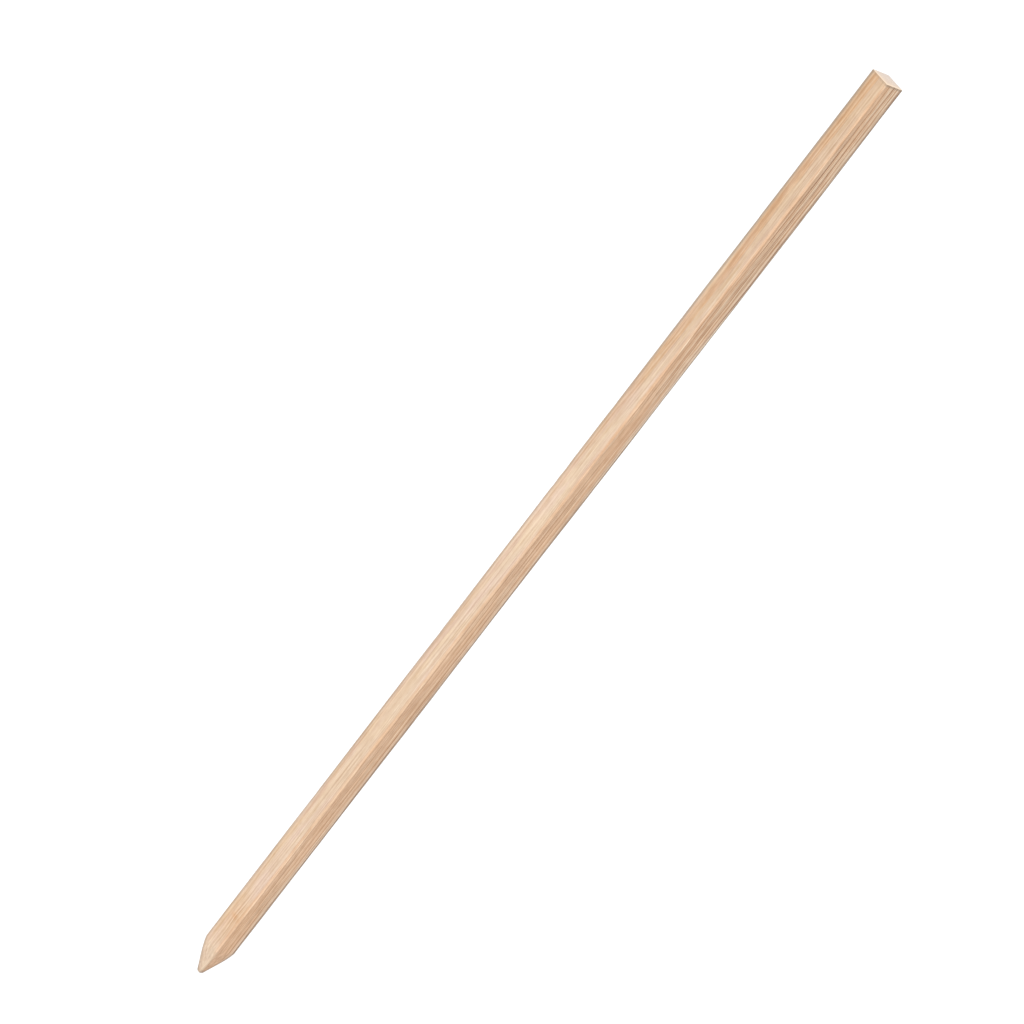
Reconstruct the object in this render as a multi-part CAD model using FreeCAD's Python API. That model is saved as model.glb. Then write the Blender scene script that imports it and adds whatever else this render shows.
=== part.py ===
"""Square wooden garden stake with a four-cut point, also used as a long dibber.

It is one length of solid timber, so it is one node. It stands upright, as it is pushed into the
soil: +Z runs up its length from the origin, which is the middle of the blunt end of the point. Its
four faces look along -Y, +X, +Y and -X. All sizes are in millimetres.
"""

import FreeCAD
import Part
import math
import os

# Driving dimensions
LENGTH = 1200.0  # from the blunt end of the point to the sawn, driven end
SIDE = 25.4  # across the flats of the square section, 1 inch
POINT_LENGTH = 39.0  # from the blunt end to the shoulder, where the four cuts start
BLUNT_SIDE = 5.2  # across the flats of the blunt end, before its rim is eased
ARRIS_RADIUS = 1.0  # the planed long edges
POINT_ARRIS_RADIUS = 0.9  # the four edges of the point, where they reach the blunt end
BLUNT_EASING = 0.9  # the worn rim of the blunt end
DRIVEN_EASING = 0.3  # the rim of the driven end, which a saw leaves nearly sharp

NODE = "stake"
CORNERS = 4
QUARTER_TURN = math.pi / 2
HAIR = 1e-3  # a distance far under any real one, to pick out edges by their height


def corner_points(side, radius, height, corner):
    """Start, middle and end of the quarter circle that rounds one corner of a square."""
    start = corner * QUARTER_TURN
    inset = side / 2 - radius
    centre_x = inset * (math.cos(start) - math.sin(start))
    centre_y = inset * (math.sin(start) + math.cos(start))
    points = []
    for angle in (start, start + QUARTER_TURN / 2, start + QUARTER_TURN):
        x = centre_x + radius * math.cos(angle)
        y = centre_y + radius * math.sin(angle)
        points.append(FreeCAD.Vector(x, y, height))
    return points


def rounded_square(side, radius, height):
    """A level square outline about the Z axis: at each corner an arc, then the flat to the next."""
    edges = []
    for corner in range(CORNERS):
        arc = corner_points(side, radius, height, corner)
        next_arc = corner_points(side, radius, height, corner + 1)
        edges.append(Part.Arc(*arc).toShape())
        edges.append(Part.LineSegment(arc[-1], next_arc[0]).toShape())
    return Part.Wire(edges)


def rim(solid, height):
    """The edges of a solid that lie level at a height."""
    return [
        edge
        for edge in solid.Edges
        if abs(edge.BoundBox.ZMin - height) < HAIR and abs(edge.BoundBox.ZMax - height) < HAIR
    ]


def make_stake():
    """The timber: a long square bar whose lower end four flat cuts bring to a blunt point."""
    outlines = [
        rounded_square(BLUNT_SIDE, POINT_ARRIS_RADIUS, 0),
        rounded_square(SIDE, ARRIS_RADIUS, POINT_LENGTH),
        rounded_square(SIDE, ARRIS_RADIUS, LENGTH),
    ]
    make_solid = True
    straight_sides = True
    stake = Part.makeLoft(outlines, make_solid, straight_sides)
    stake = stake.makeFillet(BLUNT_EASING, rim(stake, 0))
    return stake.makeChamfer(DRIVEN_EASING, rim(stake, LENGTH))


def main():
    os.makedirs("parts", exist_ok=True)
    stake = make_stake()
    stake.exportStep(os.path.join("parts", NODE + ".step"))
    box = stake.BoundBox
    print(f"{NODE}: {box.XLength:.2f} x {box.YLength:.2f} x {box.ZLength:.2f} mm, "
          f"{stake.Volume / 1000:.1f} cm3, valid {stake.isValid()}")


main()
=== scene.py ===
"""Square timber garden stake with a four-cut point: a Blender add-on that also runs as a script.

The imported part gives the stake's box and its length. This file makes the surface that is seen: the
planed faces with their grain, the worn arrises, the cut point and the sawn end, all as one closed
mesh, with a procedural timber. A pale floor, soft light and a camera make the stage.

Lengths are in metres, and the patterns of the timber are worked out in millimetres.
"""

import math

import bpy
import numpy as np
from bpy.props import FloatProperty, FloatVectorProperty, IntProperty, PointerProperty
from mathutils import Matrix, Vector


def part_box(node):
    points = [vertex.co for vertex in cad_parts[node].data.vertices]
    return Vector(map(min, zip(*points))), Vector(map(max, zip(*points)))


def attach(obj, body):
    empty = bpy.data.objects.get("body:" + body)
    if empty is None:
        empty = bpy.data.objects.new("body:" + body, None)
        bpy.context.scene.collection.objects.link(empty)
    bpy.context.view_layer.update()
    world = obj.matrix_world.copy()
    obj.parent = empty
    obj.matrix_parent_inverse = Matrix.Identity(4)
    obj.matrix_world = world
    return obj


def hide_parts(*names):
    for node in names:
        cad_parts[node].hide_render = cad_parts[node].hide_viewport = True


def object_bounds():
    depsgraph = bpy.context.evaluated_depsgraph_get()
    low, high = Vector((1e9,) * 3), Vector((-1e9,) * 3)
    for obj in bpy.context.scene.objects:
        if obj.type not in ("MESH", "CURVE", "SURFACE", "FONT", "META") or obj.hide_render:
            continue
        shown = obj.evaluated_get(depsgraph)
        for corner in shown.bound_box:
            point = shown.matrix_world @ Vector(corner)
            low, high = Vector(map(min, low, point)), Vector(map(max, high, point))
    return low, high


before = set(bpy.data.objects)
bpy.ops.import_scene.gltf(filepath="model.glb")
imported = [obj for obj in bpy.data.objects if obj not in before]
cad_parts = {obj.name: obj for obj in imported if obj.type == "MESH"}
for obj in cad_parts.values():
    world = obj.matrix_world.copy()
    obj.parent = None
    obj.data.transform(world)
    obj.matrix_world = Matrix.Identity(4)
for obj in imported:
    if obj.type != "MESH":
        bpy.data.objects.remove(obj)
CAD_LOW, CAD_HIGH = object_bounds()
STAKE_LOW, STAKE_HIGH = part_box("stake")

bl_info = {
    "name": "Garden stake",
    "version": (1, 0, 0),
    "blender": (4, 5, 0),
    "location": "View3D > Sidebar > Garden stake",
    "description": "Makes a square timber stake with a cut point, and a plain stage to see it on",
    "category": "Add Mesh",
}

MM = 0.001
FULL_TURN = 2 * math.pi
QUARTER_TURN = math.pi / 2
CORNERS = 4

# How the tree grew, in millimetres. The rings are circles round the pith, which lies outside the
# sawn section and runs nearly along it. The stake's section is centred on x = 0, y = 0.
PITH_X = -24.0
PITH_Y = 36.0
PITH_SHIFT = -5.4  # how far the pith moves in x and in y where the grain swings across
SHIFT_FROM = 630.0  # height where that swing starts
SHIFT_TO = 985.0  # height where it ends
SWAY_X = (0.35, 410.0, 0.6)  # a slow sway of the pith: how far, over what height, and its phase
SWAY_Y = (0.30, 265.0, 2.1)

# Long waves of the rings: how far, over what height, and how the phase turns across the section
RING_WAVES = ((0.30, 370.0, 0.05), (0.14, 151.0, 0.09), (0.06, 67.0, 0.16))

# Growth rings as they show low down and high up: the radius where each starts, how dark its row of
# pores is, and how pale the dense wood just inside it is
RINGS_LOW_DOWN = (
    (43.0, 0.50, 0.4),
    (44.4, 0.95, 0.2),
    (46.2, 0.05, 0.6),
    (47.9, 0.80, 0.5),
    (51.0, 0.55, 0.5),
    (54.2, 0.60, 0.25),
    (56.2, 0.35, 0.6),
    (57.5, 0.30, 0.6),
    (58.7, 0.40, 0.6),
    (60.4, 0.08, 0.5),
)
RINGS_HIGH_UP = (
    (44.6, 0.60, 0.6),
    (46.4, 0.80, 0.9),
    (48.9, 0.50, 0.6),
    (51.0, 0.60, 0.9),
    (52.3, 0.95, 0.2),
    (54.8, 0.08, 0.7),
    (56.3, 1.00, 0.6),
    (57.6, 0.05, 0.6),
    (58.7, 0.34, 0.7),
    (60.0, 0.10, 0.0),
)
RING_LOW = 42.0
RING_HIGH = 64.0
PORE_ROW = 1.1  # the width of a row of pores
PORE_MIDDLE = 0.4  # from the start of a ring to the middle of its pores
PALE_ROW = 0.8  # the width of the pale, dense wood just inside it
FINE_PITCH = 1.25  # between the finer lines inside a ring
FINE_WANDER = 3.5  # how far, in radians of that pitch, the streaks push the finer lines
INNER_PITCH = 2.6  # between the rings nearer the pith than the first one above

# How warm the wood is at each radius, from pale to honey coloured
WARM_ZONES = ((43.0, 0.55), (46.5, 0.25), (49.0, 0.5), (51.6, 0.72), (52.6, 0.36), (54.0, 0.42),
              (56.0, 0.15), (57.4, 0.3), (58.8, 0.4), (61.0, 0.25))

# Pin knots, each at a face: x, y and height. The rings bulge round them.
PIN_KNOTS = ((4.5, -12.7, 83.0), (-4.5, 12.7, 452.0), (-12.7, 2.0, 873.0))
KNOT_BULGE = 0.8
KNOT_ACROSS = 5.0
KNOT_ALONG = 13.0
FLECK = (11.0, 9.0, 5.0)  # how far a knot's brown fleck reaches in x, y and z
HALO = (18.0, 18.0, 42.0)  # how far the warmer wood round a knot reaches

STAIN_RING = 50.1  # the radius in the middle of the heartwood stain

# How the faces were planed and cut, in millimetres
WAVER_SPAN = 420.0  # the longest wave of a planed face
WAVER_FROM = (40.0, 240.0)  # the heights between which the planed faces start to dip
UNLIKE_FROM = (4.0, 30.0)  # the heights between which the four cuts start to differ
SOFT_FROM = (15.0, 39.0)  # the heights between which the shoulders start to be rounded off
ARRIS_SPAN = 260.0  # the longest wave of an arris that is wider here and narrower there
HOLLOW_MIDDLE = (550.0, 110.0)  # the +Y face's hollow half way up: its height and its reach
HOLLOW_TOP = (1.35, 1040.0, 1190.0)  # at the top: how much deeper, and between which heights
BULGE_SKEW = 1.7  # moves the fullest part of a cut's bulge up towards its shoulder
DENT_COUNT = 26
DENT_FOCUS = 14  # how closely a dent keeps to its arris
SAW_WAY = (0.94, 0.34)  # the way the saw's scores follow each other over the end, in x and y
SAW_CURVE = 9.0  # how much the scores curve, per metre
SAW_SLOWER = (0.4, 2.8)  # a second set of scores: how much shallower and how much wider apart
CRUSHED = (0.12, 0.7, 0.6)  # the blunt end's crushed fibres: their depth, and size in x and in y
ARRIS_MARK_FROM = 5.0  # how far from an arris the painted arris shade and highlight start, in arris radii
ARRIS_MARK_TO = 0.3  # how far from it they are full
TORN_RIM_AND_HIGHLIGHT = (0.62, 0.95)  # where the pale end rim (torn fibres and a painted highlight) starts and is full, as shares out

# Rings of points on each part of the surface, with the ones that it shares with its neighbours
RING_COUNTS = {"blunt": 8, "blunt_ease": 7, "point": 66, "bar": 270, "rim_ease": 6, "top": 24}


def linear(hex_colour):
    """An sRGB hex colour as linear red, green and blue."""
    srgb = np.array([int(hex_colour[i:i + 2], 16) for i in (0, 2, 4)]) / 255
    low = srgb / 12.92
    high = ((srgb + 0.055) / 1.055) ** 2.4
    return tuple(float(v) for v in np.where(srgb <= 0.04045, low, high))


# ------------------------------------------------------------------------------------ the shape

def outline_rays(arc_points, flat_points):
    """Corner shares and rays of a rounded square's outline, anticlockwise from the +X face.

    A point is (half side - arris) times its corner share, plus arris times its ray. On an arc the
    share is the corner itself and the ray turns through a quarter circle. Along a flat the ray
    stays square to the face and the share slides from one corner to the next.
    """
    start = np.arange(CORNERS)[:, None] * QUARTER_TURN
    bend = np.linspace(0, QUARTER_TURN, arc_points)[None, :]
    slide = np.linspace(0, 1, flat_points + 2)[None, 1:-1, None]
    corner = np.stack([np.cos(start) - np.sin(start), np.sin(start) + np.cos(start)], -1)
    arc_ray = np.stack([np.cos(start + bend), np.sin(start + bend)], -1)
    arc_share = np.repeat(corner, arc_points, axis=1)
    flat_ray = np.repeat(arc_ray[:, -1:], flat_points, axis=1)
    flat_share = corner * (1 - slide) + np.roll(corner, -1, axis=0) * slide
    share = np.concatenate([arc_share, flat_share], axis=1).reshape(-1, 2)
    ray = np.concatenate([arc_ray, flat_ray], axis=1).reshape(-1, 2)
    return share, ray


def sway(height, amount, span, phase):
    """A sine wave along the height: amount times the sine of height over span, plus phase."""
    return amount * np.sin(height / span * FULL_TURN + phase)


def smooth_step(value, low, high):
    """0 below low, 1 above high, and 3t^2 - 2t^3 between them."""
    t = np.clip((value - low) / (high - low), 0, 1)
    return t * t * (3 - 2 * t)


def ring_radius(x, y, z):
    """Distance from the pith in mm, of points given in mm.

    The pith's x and y move by a smooth step of the height and sway by slow sines. Long sine waves
    then push the rings in and out, and each pin knot lifts them by a bell.
    """
    shift = PITH_SHIFT * smooth_step(z, SHIFT_FROM, SHIFT_TO)
    from_x = x - (PITH_X + shift + sway(z, *SWAY_X))
    from_y = y - (PITH_Y + shift + sway(z, *SWAY_Y))
    radius = np.hypot(from_x, from_y)
    for amount, span, skew in RING_WAVES:
        radius += amount * np.sin(z / span * FULL_TURN + skew * (x - 2 * y))
    for knot_x, knot_y, knot_z in PIN_KNOTS:
        across = np.hypot(x - knot_x, y - knot_y) / KNOT_ACROSS
        radius += KNOT_BULGE * np.exp(-across ** 2 - ((z - knot_z) / KNOT_ALONG) ** 2)
    return radius


def pore_depth(radius, z):
    """How deep the rows of pores lie, from 0 to about 1.

    There is a bell across each row at its ring, and the tops of a sine of the radius nearer the
    pith. The rings as they are low down pass into those high up by a smooth step.
    """
    depths = []
    for rings in (RINGS_LOW_DOWN, RINGS_HIGH_UP):
        start, dark, _ = np.array(rings).T
        across = (radius[..., None] - start - PORE_MIDDLE) / (PORE_ROW / 2)
        depths.append((dark * np.exp(-across ** 2)).sum(-1))
    upper = smooth_step(z, SHIFT_FROM, SHIFT_TO)
    inner = smooth_step(np.sin(radius / INNER_PITCH * FULL_TURN), 0.4, 1.0) * (radius < RING_LOW)
    return depths[0] * (1 - upper) + depths[1] * upper + 0.6 * inner


def slow_waves(along, rng, longest, count):
    """Uneven waves from -1 to 1: sines of random phase, each about 1.7 times as short and 0.7 as
    high as the last."""
    total = np.zeros_like(along)
    weight = 0.0
    for step in range(count):
        span = longest / 1.7 ** step * rng.uniform(0.85, 1.15)
        height = 0.7 ** step
        total += height * np.sin(FULL_TURN * along / span + rng.uniform(0, FULL_TURN))
        weight += height
    return total / weight


class StakeShape(bpy.types.PropertyGroup):
    """Sizes of the stake's surface."""

    side: FloatProperty(
        name="Side", description="Across the flats of the square section",
        default=STAKE_HIGH.x - STAKE_LOW.x, unit="LENGTH")
    length: FloatProperty(
        name="Length", description="From the blunt end of the point to the driven end",
        default=STAKE_HIGH.z - STAKE_LOW.z, unit="LENGTH")
    point_length: FloatProperty(
        name="Point length", description="From the blunt end to the shoulder",
        default=39 * MM, unit="LENGTH")
    blunt_side: FloatProperty(
        name="Blunt side", description="Across the flats of the blunt end",
        default=5.2 * MM, unit="LENGTH")
    arris: FloatProperty(
        name="Arris radius", description="Rounding of the long planed edges",
        default=1.0 * MM, unit="LENGTH")
    point_arris: FloatProperty(
        name="Point arris radius", description="Rounding of the edges of the point",
        default=0.7 * MM, unit="LENGTH")
    blunt_easing: FloatProperty(
        name="Blunt easing", description="Rounding of the worn rim of the blunt end",
        default=1.0 * MM, unit="LENGTH")
    driven_easing: FloatProperty(
        name="Driven easing", description="Rounding of the rim of the sawn end",
        default=0.4 * MM, unit="LENGTH")
    cut_bulge: FloatProperty(
        name="Cut bulge", description="How far the middle of each cut stands out",
        default=0.5 * MM, unit="LENGTH")
    cut_spread: FloatProperty(
        name="Cut spread", description="How much the heights of the four shoulders differ",
        default=1.1 * MM, unit="LENGTH")
    shoulder: FloatProperty(
        name="Shoulder softness", description="How far the shoulders of the point are rounded off",
        default=0.4 * MM, unit="LENGTH")
    waver: FloatProperty(
        name="Waver", description="How far the planed faces dip along their length",
        default=0.12 * MM, unit="LENGTH")
    hollow: FloatProperty(
        name="Hollow",
        description="How far the +Y face is planed hollow, half way up and at the top",
        default=0.62 * MM, unit="LENGTH")
    relief: FloatProperty(
        name="Grain relief", description="How deep the rows of pores lie",
        default=0.06 * MM, unit="LENGTH")
    chatter: FloatProperty(
        name="Cutter chatter", description="Depth of the ripples that the cutter left on the point",
        default=0.05 * MM, unit="LENGTH")
    chatter_pitch: FloatProperty(
        name="Chatter pitch", description="Between two ripples of the cutter",
        default=2.3 * MM, unit="LENGTH")
    saw_marks: FloatProperty(
        name="Saw marks", description="Depth of the saw's scores on the driven end",
        default=0.09 * MM, unit="LENGTH")
    saw_pitch: FloatProperty(
        name="Saw pitch", description="Between two scores of the saw",
        default=1.9 * MM, unit="LENGTH")
    arc_points: IntProperty(
        name="Arc points", description="Points round each arris", default=11, min=4)
    flat_points: IntProperty(
        name="Flat points", description="Points across each face", default=52, min=8)
    seed: IntProperty(name="Seed", description="Start of the random wear", default=7)


def stations(shape):
    """Every ring of the surface, from the middle of the blunt end to the middle of the driven end.

    Returns each ring's height, its half side before the planed faces trim it, and its shrink: 1 on
    the sides, and less than 1 where the outline closes in towards the axis on an end face.
    """
    half, blunt = shape.side / 2, shape.blunt_side / 2
    easing, rim = shape.blunt_easing, shape.driven_easing
    slope = (half - blunt) / shape.point_length
    turn = np.linspace(0, QUARTER_TURN, RING_COUNTS["blunt_ease"])[1:]
    blunt_ease = (easing * (1 - np.cos(turn)), blunt + easing * (slope + np.sin(turn) - 1))
    first, last = shape.point_length + 4 * MM, shape.length - rim
    point_z = np.linspace(easing, first, RING_COUNTS["point"])[1:]
    bar_z = np.linspace(first, last - 0.5 * MM, RING_COUNTS["bar"])
    bar_z = np.append(bar_z[1:], last)
    rim_turn = np.linspace(0, QUARTER_TURN, RING_COUNTS["rim_ease"])[1:]
    rim_ease = (last + rim * np.sin(rim_turn), half - rim * (1 - np.cos(rim_turn)))
    shrink_in = np.linspace(0, 1, RING_COUNTS["blunt"])[1:]
    shrink_out = np.linspace(1, 0, RING_COUNTS["top"])[1:-1] ** 0.8

    height = np.concatenate([
        np.zeros_like(shrink_in), blunt_ease[0], point_z, bar_z, rim_ease[0],
        np.full_like(shrink_out, shape.length)])
    half_side = np.concatenate([
        np.full_like(shrink_in, blunt + easing * (slope - 1)), blunt_ease[1],
        blunt + slope * point_z, np.full_like(bar_z, half), rim_ease[1],
        np.full_like(shrink_out, half - rim)])
    shrink = np.concatenate([
        shrink_in, np.ones(len(turn) + len(point_z) + len(bar_z) + len(rim_turn)), shrink_out])
    return height, half_side, shrink


def face_distances(shape, rng, height, half_side):
    """How far each face lies from the axis at each ring, in the order +X, +Y, -X, -Y.

    It is the lesser of the planed face, which dips by slow waves, and the cut of the point, which
    is a slope that bulges by half a sine. A root of the squared difference rounds the shoulder
    between them. The +Y face is also hollow, by a bell half way up and a smooth step at the top.
    """
    half = shape.side / 2
    slope = (half - shape.blunt_side / 2) / shape.point_length
    z = height / MM
    distances = []
    middle, reach = HOLLOW_MIDDLE
    deeper, start, full = HOLLOW_TOP
    hollow = np.exp(-((z - middle) / reach) ** 2) + deeper * smooth_step(z, start, full)
    for face in range(CORNERS):
        dips = shape.waver * (0.5 + 0.5 * slow_waves(z, rng, WAVER_SPAN, 6))
        dips = dips * smooth_step(z, *WAVER_FROM) + shape.hollow * hollow * (face == 1)
        lift = shape.cut_spread * rng.uniform(-0.5, 0.5) * smooth_step(z, *UNLIKE_FROM)
        up_cut = np.clip(height / shape.point_length, 0, 1)
        cut = half_side + slope * lift + shape.cut_bulge * np.sin(math.pi * up_cut ** BULGE_SKEW)
        past = np.maximum(height - shape.point_length, 0)
        cut = cut + slope * past * (half_side >= half - 1e-9)
        planed = half - dips
        soft = shape.shoulder * rng.uniform(0.6, 1.3) * smooth_step(z, *SOFT_FROM)
        eased = 0.5 * (cut + planed - np.sqrt((cut - planed) ** 2 + soft ** 2))
        low_down = height < shape.point_length + 20 * MM
        distances.append(np.where(low_down, eased, np.minimum(half_side, planed)))
    return distances


def dents(shape, rng, height, share):
    """Small bruises in the arrises: bell shapes along the height, each on one of the corners."""
    at = rng.uniform(0.03, 0.995, DENT_COUNT) * shape.length
    reach = rng.uniform(2.0, 7.0, DENT_COUNT) * MM
    depth = rng.uniform(0.05, 0.30, DENT_COUNT) * MM
    corner = rng.integers(0, CORNERS, DENT_COUNT)
    sign = np.array([[1, 1], [-1, 1], [-1, -1], [1, -1]])[corner]
    along = depth * np.exp(-((height[:, None] - at) / reach) ** 2)
    near = np.clip((share @ sign.T) / 2, 0, 1) ** DENT_FOCUS
    return along @ near.T


def stake_points(shape):
    """The surface as a grid of points, one row for each ring, and its named point attributes.

    Each ring is a rounded square about the axis, put together from its corner shares and its rays.
    Rows of pores, cutter ripples and dents are then taken off along the rays, and the saw's scores
    off the driven end.
    """
    rng = np.random.default_rng(shape.seed)
    share, ray = outline_rays(shape.arc_points, shape.flat_points)
    height, half_side, shrink = stations(shape)
    east, north, west, south = face_distances(shape, rng, height, half_side)
    reach_x, reach_y = (east + west) / 2, (north + south) / 2
    middle_x, middle_y = (east - west) / 2, (north - south) / 2

    up_point = np.clip(height / shape.point_length, 0, 1)
    arris = shape.point_arris + (shape.arris - shape.point_arris) * up_point ** 3
    arris = arris * (1 + 0.3 * slow_waves(height / MM, rng, ARRIS_SPAN, 5))
    arris = np.minimum(arris, half_side * 0.8)
    x = middle_x[:, None] + ((reach_x - arris) * shrink)[:, None] * share[:, 0] \
        + (arris * shrink)[:, None] * ray[:, 0]
    y = middle_y[:, None] + ((reach_y - arris) * shrink)[:, None] * share[:, 1] \
        + (arris * shrink)[:, None] * ray[:, 1]
    z = np.repeat(height[:, None], len(ray), axis=1)
    growth = ring_radius(x / MM, y / MM, z / MM)

    # taken off along the rays, on the sides only
    on_side = (shrink == 1)[:, None] * np.ones_like(z)
    ripples = 0.5 + 0.5 * np.sin(FULL_TURN * z / shape.chatter_pitch + 0.6 * share[:, 0])
    on_cut = smooth_step(shape.point_length - z, 0, 5 * MM)
    inward = shape.relief * pore_depth(growth, z / MM) + shape.chatter * ripples * on_cut
    inward = (inward + dents(shape, rng, height, share)) * on_side
    x -= inward * ray[:, 0]
    y -= inward * ray[:, 1]

    # taken off the ends
    top = (height >= shape.length - 1e-9)[:, None] * np.ones_like(z)
    bottom = (height <= 1e-9)[:, None] * np.ones_like(z)
    across = SAW_WAY[0] * x + SAW_WAY[1] * y
    score = 0.5 + 0.5 * np.sin(FULL_TURN * (across + SAW_CURVE * y * y) / shape.saw_pitch)
    shallower, wider = SAW_SLOWER
    score += shallower * np.sin(FULL_TURN * across / (wider * shape.saw_pitch) + 1.0)
    z -= top * shape.saw_marks * np.clip(score, 0, 1.2)
    depth, size_x, size_y = np.array(CRUSHED) * MM
    z += bottom * depth * (1 + np.sin(x / size_x) * np.cos(y / size_y))

    # the arris share, which places painted shade and a painted highlight, is full on an arris and
    # fades
    #     # a few arris radii away, and so does the pale end rim, inwards
    corner_share = np.abs(share).min(axis=1)[None, :]
    edge_from, edge_to = [
        1 - radii * shape.arris / half_side[:, None] for radii in (ARRIS_MARK_FROM, ARRIS_MARK_TO)]
    edge = smooth_step(corner_share, edge_from, edge_to)
    rim = smooth_step(shrink, *TORN_RIM_AND_HIGHLIGHT)[:, None] * np.ones_like(z)
    attributes = {
        "growth": growth,
        "arris": np.where(on_side > 0, edge, rim),
        "end_grain": top + bottom,
    }
    return np.stack([x, y, z], -1), attributes


def grid_faces(rings, around):
    """Quads of a closed tube of rings, with a fan of triangles to the pole at each end."""
    ring = np.arange(rings - 1)[:, None] * around
    here = np.arange(around)[None, :]
    after = (here + 1) % around
    quads = np.stack([ring + here, ring + after, ring + around + after, ring + around + here], -1)
    low_pole, high_pole = rings * around, rings * around + 1
    here, after = here[0], after[0]
    low = np.stack([np.full(around, low_pole), after, here], -1)
    last = (rings - 1) * around
    high = np.stack([np.full(around, high_pole), last + here, last + after], -1)
    return quads.reshape(-1, 4).tolist() + low.tolist() + high.tolist()


def stake_mesh(shape):
    """The stake's closed mesh, with its ring radius, arris share for painted shade and highlight,
    and end grain as attributes.
    """
    points, attributes = stake_points(shape)
    rings, around = points.shape[:2]
    poles = [points[0].mean(axis=0), points[-1].mean(axis=0)]
    mesh = bpy.data.meshes.new("timber_stake")
    mesh.from_pydata(np.concatenate([points.reshape(-1, 3), poles]), [], grid_faces(rings, around))
    mesh.polygons.foreach_set("use_smooth", np.ones(len(mesh.polygons), bool))
    for name, values in attributes.items():
        at_poles = [values[0].mean(), values[-1].mean()]
        layer = mesh.attributes.new(name, "FLOAT", "POINT")
        layer.data.foreach_set("value", np.append(values.ravel(), at_poles).astype(np.float32))
    mesh.validate()
    mesh.update()
    return mesh


# ----------------------------------------------------------------------------------- the timber

# Noises of the timber, in mm: how wide and how long their patches are, how many finer octaves they
# have, and the two values of the noise that become 0 and 1. The finest are drawn about 1 mm wide,
# coarser than real fibres and vessels, so that they show.
NOISES = {
    "row_patches": (6.0, 120.0, 2.0, 0.36, 0.60),
    "fine_patches": (7.0, 75.0, 2.0, 0.46, 0.62),
    "streaks": (1.9, 130.0, 2.0, 0.34, 0.66),
    "fibres": (1.1, 30.0, 2.0, 0.34, 0.66),
    "vessels": (0.9, 8.0, 1.0, 0.54, 0.68),
    "mottle": (3.5, 9.0, 2.0, 0.34, 0.66),
    "golden": (7.0, 40.0, 2.0, 0.42, 0.64),
    "rosy": (8.0, 60.0, 2.0, 0.42, 0.64),
    "stain_patches": (4.0, 30.0, 2.0, 0.34, 0.62),
    "end_pores": (1.1, 60.0, 2.0, 0.36, 0.64),
}
NOISE_APART = 17.0  # between the places where two of the noises are read

# Shares of where a place is: what each is read from, where it is least, where it is full, its
# least value, and how it goes from one to the other. In mm, "x", "y" and "z" are the place, "down"
# is below the driven end, "growth" is the ring radius and "off_stain" is the distance from the
# middle ring of the stain. "side" is x + y, below 0 on the -X and -Y sides and above it on the
# others. "corner" is x - y, about 25 on the arris between +X and -Y, -25 on the one behind it and
# 0 on the other two.
WHERE = {
    "upper": ("z", SHIFT_FROM, SHIFT_TO, 0.0, "SMOOTHSTEP"),
    "top": ("down", 130.0, 30.0, 0.0, "LINEAR"),
    "rim": ("down", 2.8, 1.2, 0.0, "LINEAR"),
    "cut": ("z", 42.0, 36.0, 0.0, "LINEAR"),
    "point": ("z", 48.0, 20.0, 0.08, "LINEAR"),
    "blunt": ("z", 7.0, 1.5, 0.0, "LINEAR"),
    "inside": ("growth", RING_LOW + 0.5, RING_LOW, 0.0, "LINEAR"),
    "facing": ("side", -3.0, 0.0, 0.0, "SMOOTHSTEP"),
    "far_x": ("x", 8.0, 12.2, 0.0, "SMOOTHSTEP"),
    "far_y": ("y", 5.0, 9.0, 0.0, "LINEAR"),
    "nearest": ("corner", 3.0, 4.5, 0.0, "LINEAR"),
    # where the painted arris shade goes: full on the two outline arrises, less on the back one
    "outline_shade": ("corner", -18.0, -6.0, 0.45, "LINEAR"),
    "clean_end": ("corner", -3.0, 3.0, 0.0, "LINEAR"),
    "grey_end": ("corner", 20.0, -20.0, 0.0, "LINEAR"),
    "stain_ring": ("off_stain", 2.9, 1.7, 0.0, "SMOOTHSTEP"),
    "stain_side": ("x", 4.0, -1.0, 0.0, "SMOOTHSTEP"),
    "stain_rise": ("z", 620.0, 1030.0, 0.08, "SMOOTHSTEP"),
}

# Strengths that follow a share: which share, and the strength where it is 0 and where it is 1
STRENGTHS = {
    "averted": ("facing", 1.0, 0.0),
    "clear": ("nearest", 1.0, 0.0),
    "patchy": ("row_patches", 0.4, 1.0),
    "uneven": ("mottle", 0.3, 1.0),
    "stain_patchy": ("stain_patches", 0.45, 1.0),
    "quiet": ("upper", 0.8, 0.55),  # of grain on the -X and -Y sides
    "loud": ("upper", 2.1, 3.2),  # of grain on the +X and +Y sides
    "calm": ("cut", 1.0, 0.4),  # of grain on the cuts
    "lively": ("facing", 1.0, 1.5),  # of the tones
    "faint": ("upper", 0.74, 1.09),  # of the painted arris shade on the -X and -Y sides
    "end_darkening": ("facing", 0.3, 0.58),  # of the darker bands at the two ends, stronger on the +X and +Y sides
}

# Layers of colour, in order: how strong, which colour of the look, and the shares that place it
CASTS = (
    (0.8, "warm", "warm"),
    (0.35, "gold", "golden"),
    (0.4, "rose", "rosy"),
    (0.3, "warm", "upper"),
    (0.5, "warm", "top"),
    # painted shade: a warmer, deeper tint on the shaded +X side and the +X and +Y cuts
    (0.85, "honey", "honey"),
    (0.5, "weathered", "far_y", "facing"),
    (0.4, "cream", "cut", "averted"),
    (0.4, "stain", "halo"),
    (0.75, "stain", "stain_patchy", "stain_ring", "stain_side", "stain_rise"),
    (0.9, "stain", "fleck", "uneven"),
    (0.10, "pore", "vessels"),
)
GRAIN = (
    (0.16, "pore", "fine_dark", "bold", "calm"),
    (0.42, "pore", "dark", "bold", "calm"),
    (0.30, "cream", "fine_light", "bold", "calm"),
    (0.50, "cream", "light", "bold", "calm"),
)
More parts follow.
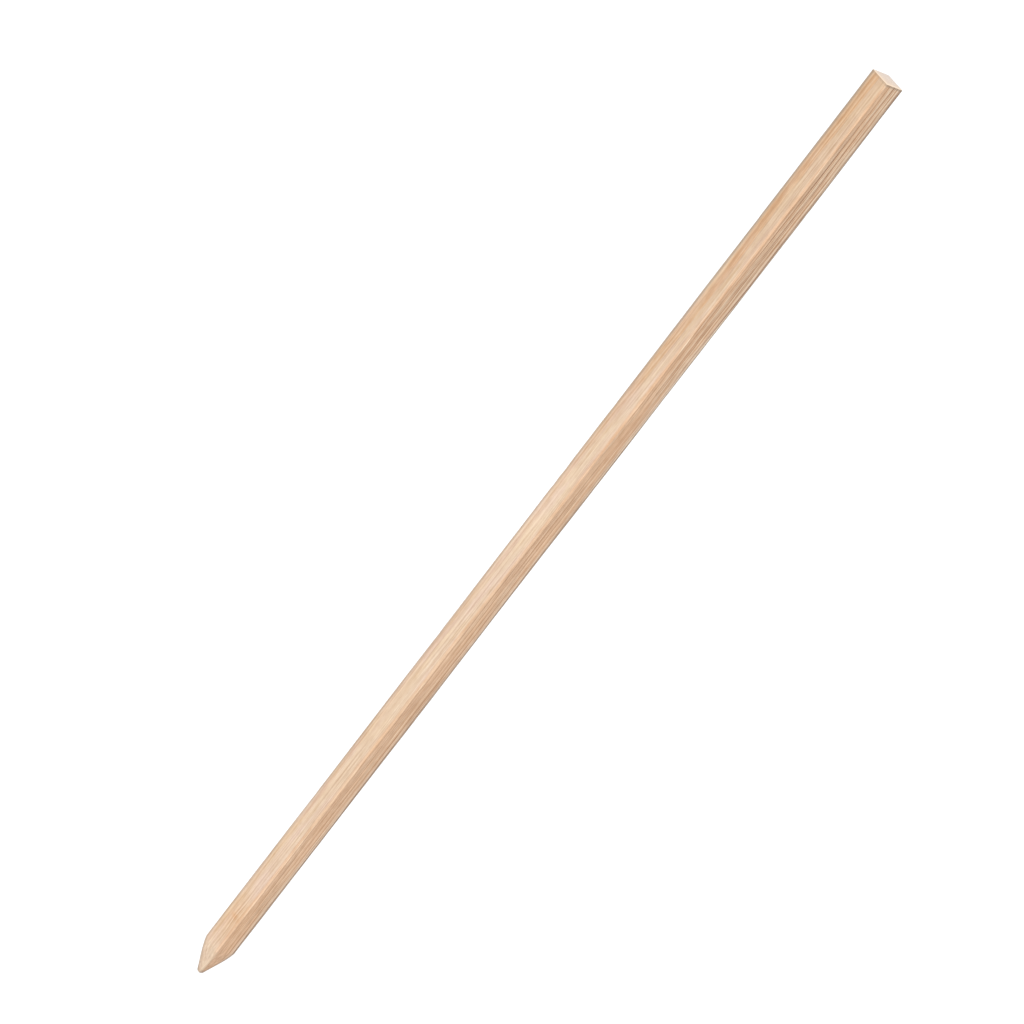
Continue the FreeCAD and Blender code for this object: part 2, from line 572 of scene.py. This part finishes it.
# Painted shade on the outline arrises, a painted highlight on the near ridge of the point, and
# darker bands below the sawn end and over the blunt end
EDGE_LAYERS = (
    # painted shade: darkens the two outline arrises, the back one less and the near one not at all
    (0.57, "grime", "worn", "clear", "outline_shade"),
    # painted highlight: a cream line along the near ridge of the point, faint further up
    (0.95, "cream", "tight", "nearest", "point"),
    # darker band just below the sawn end, stronger on the +X and +Y sides
    (1.0, "grime", "rim", "end_darkening"),
    # darker over the lowest few mm of the point, stronger on the +X and +Y sides
    (1.0, "grime", "blunt", "end_darkening"),
)
END_GRAIN = (
    (0.18, "pore", "dark"),
    (0.22, "pore", "end_pores"),
    # partly torn fibres, partly a painted highlight: a pale rim on the near edges of an end
    (0.9, "torn", "arris", "clean_end"),
)

# Tones that lighten or darken the wood by up to this much either way. Darker streaks are also more
# orange, so a tone swings furthest in blue.
TONES = (("streaks", 0.10), ("fibres", 0.07), ("mottle", 0.04))
TONE_COLOUR = (0.75, 1.05, 1.35)

# What the wood is multiplied by where each of these shares is 1
SHADES = (("far_upper", 0.94), ("top", 0.975), ("near_cut", 0.935))

TIGHT_ARRIS = 0.65  # the arris share that the tight painted shade and the ridge's painted highlight start from
PIT_DEPTH = 1.6  # how low pores lie in the bump, against how high fibres stand
ROUGHNESS_SWING = 0.07  # how far streaks raise or lower the roughness


class TimberLook(bpy.types.PropertyGroup):
    """Colours and finish of the timber."""

    pale: FloatVectorProperty(
        name="Pale wood", description="The light wood between the rows of pores",
        subtype="COLOR", size=3, default=linear("CDB59C"))
    warm: FloatVectorProperty(
        name="Warm wood", description="The denser, warmer wood at the end of a ring",
        subtype="COLOR", size=3, default=linear("CDAC88"))
    # painted shade: the tint of the shaded +X side and the +X and +Y cuts
    honey: FloatVectorProperty(
        name="Honey wood", description="The warmer wood of the face nearest the bark",
        subtype="COLOR", size=3, default=linear("D5AA85"))
    gold: FloatVectorProperty(
        name="Golden cast", description="Yellowish patches",
        subtype="COLOR", size=3, default=linear("D0B28E"))
    rose: FloatVectorProperty(
        name="Rosy cast", description="Greyish pink patches",
        subtype="COLOR", size=3, default=linear("CBADA0"))
    stain: FloatVectorProperty(
        name="Stain", description="The orange heartwood colour towards the driven end",
        subtype="COLOR", size=3, default=linear("C29266"))
    pore: FloatVectorProperty(
        name="Pores", description="The open pores at the start of a ring",
        subtype="COLOR", size=3, default=linear("7E4C2A"))
    cream: FloatVectorProperty(
        name="Cream lines", description="The palest, densest fibres",
        subtype="COLOR", size=3, default=linear("DCC4A8"))
    weathered: FloatVectorProperty(
        name="Weathered wood", description="The greyer strip beside the corner of +X and +Y",
        subtype="COLOR", size=3, default=linear("C9B8A6"))
    # partly torn fibres, partly a painted highlight along the near edges
    torn: FloatVectorProperty(
        name="Torn rim", description="The pale rim of the sawn end",
        subtype="COLOR", size=3, default=linear("DFC8AE"))
    # dark colour of the edges: painted shade on the outline arrises, and darker bands at the two
    # ends
    grime: FloatVectorProperty(
        name="Grime", description="Handling dirt on the outer arrises",
        subtype="COLOR", size=3, default=linear("8C7C6C"))
    end_near: FloatVectorProperty(
        name="End grain, clean", description="The sawn end on the side where the saw came out",
        subtype="COLOR", size=3, default=linear("D3BFAB"))
    end_far: FloatVectorProperty(
        name="End grain, grey", description="The sawn end on the side where the saw went in",
        subtype="COLOR", size=3, default=linear("C9BDB1"))
    roughness: FloatProperty(
        name="Roughness", description="Planed and unfinished wood", default=0.62, min=0, max=1)


def add_node(tree, kind, inputs=(), **settings):
    """Adds one node and returns its first live output.

    Each input is a value, or a socket to link, and each setting is an attribute of the node.
    """
    made = tree.nodes.new("ShaderNode" + kind)
    for name, value in settings.items():
        setattr(made, name, value)
    for key, value in dict(inputs).items():
        if isinstance(value, bpy.types.NodeSocket):
            tree.links.new(value, made.inputs[key])
        else:
            made.inputs[key].default_value = value
    return next((output for output in made.outputs if output.enabled), None)


def fill_ramp(ramp, stops):
    """Puts grey stops, at radii in mm, on a colour ramp that runs across the rings."""
    ramp.interpolation = "EASE"
    while len(ramp.elements) > 1:
        ramp.elements.remove(ramp.elements[-1])
    for number, (radius, value) in enumerate(sorted(stops)):
        position = (radius - RING_LOW) / (RING_HIGH - RING_LOW)
        element = ramp.elements[0] if number == 0 else ramp.elements.new(position)
        element.position = position
        element.color = (value, value, value, 1.0)


def noise_fields(tree, place):
    """Every noise of the timber, stretched along the length and brought to the range 0 to 1."""
    fields = {}
    for number, (name, (across, along, octaves, low, high)) in enumerate(NOISES.items()):
        apart = NOISE_APART * (number + 1)
        moved = add_node(tree, "Mapping", {
            "Vector": place, "Location": (apart, apart, apart),
            "Scale": (1 / across, 1 / across, 1 / along)})
        noise = add_node(tree, "TexNoise", {
            "Vector": moved, "Scale": 1.0, "Detail": octaves, "Roughness": 0.5})
        fields[name] = add_node(tree, "MapRange", {
            "Value": noise, "From Min": low, "From Max": high})
    return fields


def where_fields(tree, place, growth, length):
    """The shares of where a place is, one for each row of WHERE."""
    x, y, z = add_node(tree, "SeparateXYZ", {0: place}).node.outputs
    off_ring = add_node(tree, "Math", {0: growth, 1: STAIN_RING}, operation="SUBTRACT")
    readings = {
        "x": x, "y": y, "z": z, "growth": growth,
        "down": add_node(tree, "Math", {0: length / MM, 1: z}, operation="SUBTRACT"),
        "side": add_node(tree, "Math", {0: x, 1: y}, operation="ADD"),
        "corner": add_node(tree, "Math", {0: x, 1: y}, operation="SUBTRACT"),
        "off_stain": add_node(tree, "Math", {0: off_ring}, operation="ABSOLUTE"),
    }
    fields = {}
    for name, (reading, start, full, least, way) in WHERE.items():
        fields[name] = add_node(tree, "MapRange", {
            "Value": readings[reading], "From Min": start, "From Max": full, "To Min": least},
            interpolation_type=way)
    return fields


def ring_fields(tree, growth, fields):
    """Shares of dark pores and of pale lines, from the ring radius, and how warm each zone is.

    One ramp holds the rings as they are low down and one as they are high up: 0.5 is plain wood,
    less is a row of pores and more is the pale line just inside it.
    """
    reading = add_node(tree, "MapRange", {
        "Value": growth, "From Min": RING_LOW, "From Max": RING_HIGH})
    lines = []
    for rings in (RINGS_LOW_DOWN, RINGS_HIGH_UP):
        ramp = add_node(tree, "ValToRGB", {"Fac": reading})
        fill_ramp(ramp.node.color_ramp, [
            stop for start, dark, pale in rings for stop in (
                (start - PALE_ROW / 2, 0.5 + 0.5 * pale),
                (start + PORE_MIDDLE, 0.5 - 0.5 * dark),
                (start + PORE_ROW, 0.5))])
        lines.append(ramp)
    line = add_node(tree, "Mix", {0: fields["upper"], 6: lines[0], 7: lines[1]}, data_type="RGBA")
    shares = {}
    for name, full in (("dark", 0.0), ("light", 1.0)):
        share = add_node(tree, "MapRange", {"Value": line, "From Min": 0.5, "From Max": full})
        shares[name] = add_node(tree, "Math", {0: share, 1: fields["patchy"]}, operation="MULTIPLY")

    # finer lines inside the rings: a narrow peak of a sine of the radius
    angle = add_node(tree, "Math", {0: growth, 1: FULL_TURN / FINE_PITCH}, operation="MULTIPLY")
    angle = add_node(tree, "Math", {0: fields["streaks"], 1: FINE_WANDER, 2: angle},
                     operation="MULTIPLY_ADD")
    wave = add_node(tree, "Math", {0: angle}, operation="SINE")
    for name, start, peak in (("fine_dark", 0.1, 1.0), ("fine_light", -0.1, -1.0)):
        share = add_node(tree, "MapRange", {"Value": wave, "From Min": start, "From Max": peak})
        shares[name] = add_node(tree, "Math", {0: share, 1: fields["fine_patches"]},
                                operation="MULTIPLY")

    # the rings nearer the pith: the tops of a slower sine of the radius
    angle = add_node(tree, "Math", {0: growth, 1: FULL_TURN / INNER_PITCH}, operation="MULTIPLY")
    wave = add_node(tree, "Math", {0: angle}, operation="SINE")
    inner = add_node(tree, "MapRange", {"Value": wave, "From Min": 0.4, "To Max": 0.6})
    inner = add_node(tree, "Math", {0: inner, 1: fields["inside"]}, operation="MULTIPLY")
    shares["dark"] = add_node(tree, "Math", {0: inner, 1: fields["patchy"], 2: shares["dark"]},
                              operation="MULTIPLY_ADD")

    shares["warm"] = add_node(tree, "ValToRGB", {"Fac": reading})
    fill_ramp(shares["warm"].node.color_ramp, WARM_ZONES)
    return shares


def knot_share(tree, place, size):
    """How far inside an oval of this size round a pin knot a place is, from 0 at its rim to 1."""
    total = 0.0
    for knot in PIN_KNOTS:
        away = add_node(tree, "VectorMath", {0: place, 1: knot}, operation="SUBTRACT")
        oval = add_node(tree, "VectorMath", {0: away, 1: size}, operation="DIVIDE")
        reach = add_node(tree, "VectorMath", {0: oval}, operation="LENGTH")
        inside = add_node(tree, "MapRange", {"Value": reach, "From Min": 1.0, "From Max": 0.2})
        total = add_node(tree, "Math", {0: total, 1: inside}, operation="ADD")
    return total


def strength_fields(tree, fields):
    """The strengths that follow a share, one for each row of STRENGTHS."""
    strengths = {}
    for name, (share, least, full) in STRENGTHS.items():
        strengths[name] = add_node(tree, "MapRange", {
            "Value": fields[share], "To Min": least, "To Max": full})
    return strengths


def side_fields(tree, arris, fields):
    """Shares that differ from side to side.

    Grain is bolder on the +X and +Y sides, and the painted shade of the outline arrises keeps tight
    to an arris there. On the other two that painted shade is broad, and wood is darker high up. A
    painted shade tint, warmer and deeper, is on the +X side and on the +X and +Y cuts.
    """
    facing = fields["facing"]
    near_cut = add_node(tree, "Math", {0: fields["cut"], 1: facing}, operation="MULTIPLY")
    tight = add_node(tree, "MapRange", {"Value": arris, "From Min": TIGHT_ARRIS})
    broad = add_node(tree, "Math", {0: arris, 1: fields["faint"]}, operation="MULTIPLY")
    return {
        "arris": arris,
        "tight": tight,
        # share of the painted shade on the outline arrises
        "worn": add_node(tree, "Mix", {0: facing, 2: broad, 3: tight}, data_type="FLOAT"),
        "bold": add_node(tree, "Mix", {0: facing, 2: fields["quiet"], 3: fields["loud"]},
                         data_type="FLOAT"),
        "near_cut": near_cut,
        # where the painted shade tint goes
        "honey": add_node(tree, "Math", {0: fields["far_x"], 1: near_cut}, operation="MAXIMUM"),
        "far_upper": add_node(tree, "Math", {0: fields["upper"], 1: fields["averted"]},
                              operation="MULTIPLY"),
    }


def lay_colours(tree, wood, look, fields, layers):
    """The wood with each layer's colour laid over it, by its strength times all its shares."""
    for strength, colour, *shares in layers:
        part = strength
        for share in shares:
            part = add_node(tree, "Math", {0: part, 1: fields[share]}, operation="MULTIPLY")
        wood = add_node(tree, "Mix", {
            0: part, 6: wood, 7: (*getattr(look, colour), 1.0)}, data_type="RGBA")
    return wood


def side_colour(tree, look, fields):
    """Colour of the planed faces and the cuts: casts (with a painted shade tint on the +X side),
    stain and grain, then tones, then painted shade on the outline arrises, a painted highlight on
    the near ridge and darker bands at both ends.
    """
    wood = lay_colours(tree, (*look.pale, 1.0), look, fields, CASTS + GRAIN)

    swings, shade = 0.0, 1.0
    for name, swing in TONES:
        part = add_node(tree, "MapRange", {
            "Value": fields[name], "To Min": -swing, "To Max": swing})
        swings = add_node(tree, "Math", {0: swings, 1: part}, operation="ADD")
    swings = add_node(tree, "Math", {0: swings, 1: fields["lively"]}, operation="MULTIPLY")
    for name, least in SHADES:
        part = add_node(tree, "MapRange", {"Value": fields[name], "To Min": 1.0, "To Max": least})
        shade = add_node(tree, "Math", {0: shade, 1: part}, operation="MULTIPLY")
    tones = add_node(tree, "VectorMath", {0: swings, 1: TONE_COLOUR, 2: shade},
                     operation="MULTIPLY_ADD")
    wood = add_node(tree, "Mix", {0: 1.0, 6: wood, 7: tones}, data_type="RGBA",
                    blend_type="MULTIPLY")
    return lay_colours(tree, wood, look, fields, EDGE_LAYERS)


def end_colour(tree, look, fields):
    """Colour of the sawn end: clean to grey across it, its rings as arcs, and a pale rim on its near
    edges, partly fibres that the saw tore out and partly a painted highlight.
    """
    wood = add_node(tree, "Mix", {
        0: fields["grey_end"], 6: (*look.end_near, 1.0), 7: (*look.end_far, 1.0)},
        data_type="RGBA")
    return lay_colours(tree, wood, look, fields, END_GRAIN)


def planed_hardwood(look, length):
    """Pale ring-porous hardwood, sawn and planed, with no finish.

    It gives the eye straight, fine grain: dark rows of pores where each ring starts, paler wood
    between them, streaks of fibre along the length, an orange cast towards one end, and a greyer
    sawn end that shows the rings as arcs.
    """
    material = bpy.data.materials.new("planed_hardwood")
    material.use_nodes = True
    tree = material.node_tree
    tree.nodes.clear()

    coords = add_node(tree, "TexCoord").node.outputs["Object"]
    place = add_node(tree, "VectorMath", {0: coords, "Scale": 1 / MM}, operation="SCALE")
    growth, arris, end = [
        add_node(tree, "Attribute", attribute_name=name).node.outputs["Fac"]
        for name in ("growth", "arris", "end_grain")]
    fields = noise_fields(tree, place)
    fields.update(where_fields(tree, place, growth, length))
    fields.update(strength_fields(tree, fields))
    fields.update(ring_fields(tree, growth, fields))
    fields.update(side_fields(tree, arris, fields))
    fields["halo"] = knot_share(tree, place, HALO)
    fields["fleck"] = knot_share(tree, place, FLECK)
    colour = add_node(tree, "Mix", {
        0: end, 6: side_colour(tree, look, fields), 7: end_colour(tree, look, fields)},
        data_type="RGBA")

    # fibres stand up and pores lie low in the bump
    pits = add_node(tree, "Math", {0: fields["dark"], 1: PIT_DEPTH}, operation="MULTIPLY")
    height = add_node(tree, "Math", {0: fields["fibres"], 1: pits}, operation="SUBTRACT")
    bump = add_node(tree, "Bump", {"Height": height, "Strength": 0.35, "Distance": 0.03 * MM})
    rough = add_node(tree, "MapRange", {
        "Value": fields["streaks"], "To Min": look.roughness - ROUGHNESS_SWING,
        "To Max": look.roughness + ROUGHNESS_SWING})
    surface = add_node(tree, "BsdfPrincipled", {
        "Base Color": colour, "Roughness": rough, "IOR": 1.5, "Specular IOR Level": 0.35,
        "Normal": bump})
    add_node(tree, "OutputMaterial", {"Surface": surface})
    return material


class OBJECT_OT_timber_stake(bpy.types.Operator):
    """Make the timber stake: its surface and its planed hardwood."""

    bl_idname = "object.timber_stake_add"
    bl_label = "Timber stake"

    def execute(self, context):
        shape = context.scene.stake_shape
        stake = bpy.data.objects.new("timber_stake", stake_mesh(shape))
        context.scene.collection.objects.link(stake)
        stake.data.materials.append(planed_hardwood(context.scene.timber_look, shape.length))
        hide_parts("stake")
        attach(stake, "root")
        return {"FINISHED"}


# ------------------------------------------------------------------------------------ the stage

class StageSetup(bpy.types.PropertyGroup):
    """Floor, light and camera."""

    floor_radius: FloatProperty(
        name="Floor radius", description="How far the floor reaches", default=30.0, unit="LENGTH")
    floor_colour: FloatVectorProperty(
        name="Floor colour", description="Matt pale paper", subtype="COLOR", size=3,
        default=linear("E1E1E0"))
    sky: FloatProperty(
        name="Sky", description="Strength of the even light all round", default=0.6)
    sky_colour: FloatVectorProperty(
        name="Sky colour", description="Colour of the even light", subtype="COLOR", size=3,
        default=(1.03, 1.0, 0.97))
    key: FloatProperty(
        name="Key", description="Strength of the soft key light", default=3.4)
    key_colour: FloatVectorProperty(
        name="Key colour", description="Colour of the key light", subtype="COLOR", size=3,
        default=(0.95, 1.0, 1.07))
    key_azimuth: FloatProperty(
        name="Key azimuth", description="From -Y towards +X", subtype="ANGLE",
        default=math.radians(16))
    key_height: FloatProperty(
        name="Key height", description="Angle above the floor", subtype="ANGLE",
        default=math.radians(60))
    key_softness: FloatProperty(
        name="Key softness", description="Width of the key as an angle", subtype="ANGLE",
        default=math.radians(40))
    azimuth: FloatProperty(
        name="Azimuth", description="Of the camera, from -Y towards +X", subtype="ANGLE",
        default=math.radians(38.79))
    elevation: FloatProperty(
        name="Elevation", description="Of the camera, above the horizon", subtype="ANGLE",
        default=math.radians(21.78))
    roll: FloatProperty(
        name="Roll", description="The camera's turn anticlockwise about its own axis",
        subtype="ANGLE", default=math.radians(37.484))
    distance: FloatProperty(
        name="Distance", description="From the middle of the stake to the camera",
        default=3.944, unit="LENGTH")
    lens: FloatProperty(
        name="Lens", description="Focal length in mm on a 36 mm sensor", default=139.68)
    aim_side: FloatProperty(
        name="Aim aside", description="How far the camera aims to the side of the stake's middle",
        default=-33.3 * MM, unit="LENGTH")
    aim_rise: FloatProperty(
        name="Aim above", description="How far the camera aims above the stake's middle",
        default=22.4 * MM, unit="LENGTH")


def direction(azimuth, elevation):
    """The way from the object to something at an azimuth from -Y towards +X and an elevation."""
    return Vector((math.sin(azimuth) * math.cos(elevation),
                   -math.cos(azimuth) * math.cos(elevation), math.sin(elevation)))


def place_camera(context, setup):
    """A camera that looks at a point beside the stake's middle, then rolls about its own axis."""
    middle = (CAD_LOW + CAD_HIGH) / 2
    back = direction(setup.azimuth, setup.elevation)
    right = Vector((math.cos(setup.azimuth), math.sin(setup.azimuth), 0))
    above = back.cross(right)
    spot = middle + back * setup.distance
    aim = middle + right * setup.aim_side + above * setup.aim_rise
    data = bpy.data.cameras.new("camera")
    data.lens = setup.lens
    data.clip_end = 2 * setup.floor_radius
    camera = bpy.data.objects.new("camera", data)
    context.scene.collection.objects.link(camera)
    turn = (aim - spot).to_track_quat("-Z", "Y").to_matrix().to_4x4()
    camera.matrix_world = Matrix.Translation(spot) @ turn @ Matrix.Rotation(setup.roll, 4, "Z")
    context.scene.camera = camera


def matt_paper(setup):
    """Matt pale background paper, which gives the eye nothing but light and soft shade."""
    material = bpy.data.materials.new("matt_paper")
    material.use_nodes = True
    tree = material.node_tree
    tree.nodes.clear()
    surface = add_node(tree, "BsdfPrincipled", {
        "Base Color": (*setup.floor_colour, 1.0), "Roughness": 1.0, "Specular IOR Level": 0.0})
    add_node(tree, "OutputMaterial", {"Surface": surface})
    return material


class SCENE_OT_stake_stage(bpy.types.Operator):
    """Make the stage: a pale floor, even light with a soft key, and the camera."""

    bl_idname = "scene.stake_stage_add"
    bl_label = "Stage"

    def execute(self, context):
        setup = context.scene.stage_setup
        angle = np.linspace(0, FULL_TURN, 96, endpoint=False)
        rim = np.stack([np.cos(angle), np.sin(angle), 0 * angle], -1) * setup.floor_radius
        rim[:, 2] = CAD_LOW.z
        mesh = bpy.data.meshes.new("floor")
        mesh.from_pydata(rim, [], [list(range(len(angle)))])
        floor = bpy.data.objects.new("floor", mesh)
        floor.data.materials.append(matt_paper(setup))
        context.scene.collection.objects.link(floor)

        world = bpy.data.worlds.new("even_light")
        world.use_nodes = True
        background = world.node_tree.nodes["Background"].inputs
        background["Color"].default_value = (*setup.sky_colour, 1.0)
        background["Strength"].default_value = setup.sky
        context.scene.world = world

        lamp = bpy.data.lights.new("key", "SUN")
        lamp.energy = setup.key
        lamp.color = setup.key_colour
        lamp.angle = setup.key_softness
        lamp.use_shadow = False
        key = bpy.data.objects.new("key", lamp)
        context.scene.collection.objects.link(key)
        way = direction(setup.key_azimuth, setup.key_height)
        key.matrix_world = way.to_track_quat("Z", "Y").to_matrix().to_4x4()

        place_camera(context, setup)
        context.scene.view_settings.view_transform = "Standard"
        return {"FINISHED"}


class VIEW3D_PT_garden_stake(bpy.types.Panel):
    """The stake's operators and settings in the sidebar."""

    bl_label = "Garden stake"
    bl_space_type = "VIEW_3D"
    bl_region_type = "UI"
    bl_category = "Garden stake"

    def draw(self, context):
        layout = self.layout
        for operator in (OBJECT_OT_timber_stake, SCENE_OT_stake_stage):
            layout.operator(operator.bl_idname)
        for group in ("stake_shape", "timber_look", "stage_setup"):
            settings = getattr(context.scene, group)
            for name in settings.__annotations__:
                layout.prop(settings, name)


GROUPS = {"stake_shape": StakeShape, "timber_look": TimberLook, "stage_setup": StageSetup}
CLASSES = (StakeShape, TimberLook, StageSetup, OBJECT_OT_timber_stake, SCENE_OT_stake_stage,
           VIEW3D_PT_garden_stake)


def register():
    for each in CLASSES:
        bpy.utils.register_class(each)
    for name, group in GROUPS.items():
        setattr(bpy.types.Scene, name, PointerProperty(type=group))


def unregister():
    for name in GROUPS:
        delattr(bpy.types.Scene, name)
    for each in reversed(CLASSES):
        bpy.utils.unregister_class(each)


def main():
    register()
    bpy.ops.object.timber_stake_add()
    bpy.ops.scene.stake_stage_add()


if __name__ == "__main__":
    main()
